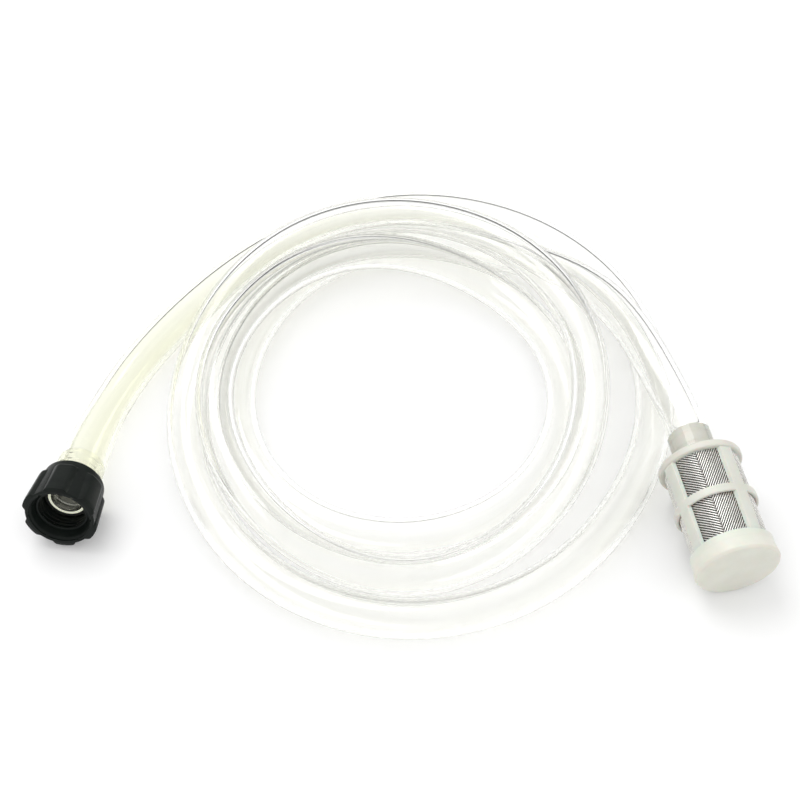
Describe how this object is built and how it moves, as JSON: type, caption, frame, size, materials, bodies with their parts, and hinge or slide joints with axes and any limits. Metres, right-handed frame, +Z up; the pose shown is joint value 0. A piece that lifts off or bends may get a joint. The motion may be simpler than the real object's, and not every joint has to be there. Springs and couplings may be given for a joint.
{
  "type": "siphon hose set",
  "caption": "Clear siphon hose lying in loose turns, with a threaded swivel nut for a tap on one end and a screened inlet strainer on the other.",
  "frame": {"origin": "on the floor, below the middle of the box around the nut end's and the strainer's own pieces, without the hose", "axes": "+Z up, +X from the nut towards the strainer, +Y from the open side, where the nut's mouth and the strainer's cap look, towards the far side of the coil"},
  "size_m": [0.2964, 0.2392, 0.0372],
  "materials": {
    "clear_pvc": "clear, glossy",
    "black_plastic": "satin",
    "clear_tail": "clear, faintly yellow",
    "white_plastic": "satin, slightly translucent",
    "black_rubber": "matte",
    "steel_mesh": "woven wire"
  },
  "bodies": {
    "hose_set": {"hose": "clear_pvc", "hose_end_nut": "clear_pvc", "hose_end_strainer": "clear_pvc", "hose_tail": "clear_tail", "seal_washer": "black_rubber", "strainer_body": "white_plastic", "mesh_screen": "steel_mesh", "end_cap": "white_plastic"},
    "swivel_nut": {"nut": "black_plastic"}
  },
  "joints": [
    {"name": "nut_spin", "type": "hinge", "parent": "hose_set", "child": "swivel_nut", "pos_m": [-0.13333, -0.00664, 0.0175], "axis": [-0.1274, -0.9679, 0.2164], "continuous": true}
  ]
}
